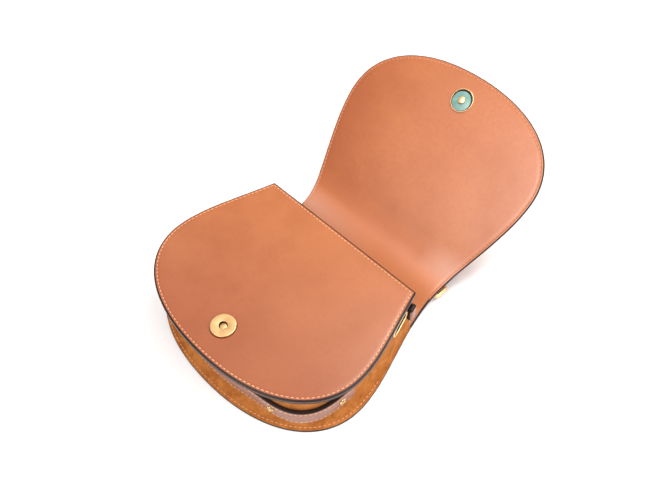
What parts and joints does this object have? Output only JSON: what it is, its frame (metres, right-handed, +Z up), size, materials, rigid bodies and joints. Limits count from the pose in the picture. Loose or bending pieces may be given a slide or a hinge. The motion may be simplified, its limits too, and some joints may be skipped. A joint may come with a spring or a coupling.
{
  "type": "top handle bag",
  "caption": "Saddle-shaped leather flap bag lying open on its back, with a folded side gusset, a magnetic snap and a rolled top handle on rings.",
  "frame": {"origin": "on the outer face of the back panel, on the bag's centre line at the mouth line", "axes": "+X across the bag, +Y from the bottom towards the open flap, +Z up from the face the bag lies on"},
  "size_m": [0.1848, 0.2836, 0.1073],
  "materials": {
    "smooth_leather": "smooth tan leather with a faint mottle",
    "flap_inner_leather": "smooth tan leather facing of the flap",
    "lining_suede": "matt tan suede",
    "gusset_suede": "matt tan suede, mottled",
    "band_leather": "smooth leather with dark painted edges",
    "gold_brass": "polished gold-coloured brass",
    "magnet_steel": "plain steel, hidden"
  },
  "bodies": {
    "bag": {"back_panel": "smooth_leather", "back_lining": "lining_suede", "front_panel": "smooth_leather", "front_lining": "lining_suede", "gusset": "gusset_suede", "gusset_band": "band_leather", "strap_end_left": "band_leather", "strap_end_right": "band_leather", "grommet_left": "gold_brass", "grommet_right": "gold_brass", "band_eyelet_1": "gold_brass", "band_eyelet_2": "gold_brass", "band_eyelet_3": "gold_brass", "band_eyelet_4": "gold_brass", "front_snap_cup": "gold_brass", "front_snap_magnet": "magnet_steel", "front_snap_washer": "magnet_steel"},
    "spine": {"spine": "smooth_leather", "spine_lining": "lining_suede", "handle_tab_left": "smooth_leather", "handle_tab_right": "smooth_leather", "tab_rivet_left": "gold_brass", "tab_rivet_right": "gold_brass"},
    "flap": {"flap": "smooth_leather", "flap_lining": "flap_inner_leather", "flap_snap_plate": "gold_brass", "flap_snap_post": "gold_brass", "flap_snap_washer": "magnet_steel"},
    "rings": {"ring_left": "gold_brass", "ring_right": "gold_brass"},
    "handle": {"handle_grip": "smooth_leather", "handle_end_left": "smooth_leather", "handle_end_right": "smooth_leather", "handle_rivet_left": "gold_brass", "handle_rivet_right": "gold_brass"}
  },
  "joints": [
    {"name": "spine_fold", "type": "hinge", "parent": "bag", "child": "spine", "pos_m": [0, 0.0006, 0.00275], "axis": [1, 0, 0], "range_deg": [0, 69.5]},
    {"name": "flap_fold", "type": "hinge", "parent": "spine", "child": "flap", "pos_m": [0, 0.04523, 0.01959], "axis": [1, 0, 0], "range_deg": [0, 69.5]},
    {"name": "ring_swing", "type": "hinge", "parent": "spine", "child": "rings", "pos_m": [0, 0.0312, 0.0044], "axis": [1, 0, 0], "range_deg": [0, 12]},
    {"name": "handle_swing", "type": "hinge", "parent": "rings", "child": "handle", "pos_m": [0, 0.0432, 0.0044], "axis": [1, 0, 0], "range_deg": [0, 22]}
  ],
  "couplings": [
    {"joint": "flap_fold", "follows": "spine_fold", "ratio": 1}
  ]
}
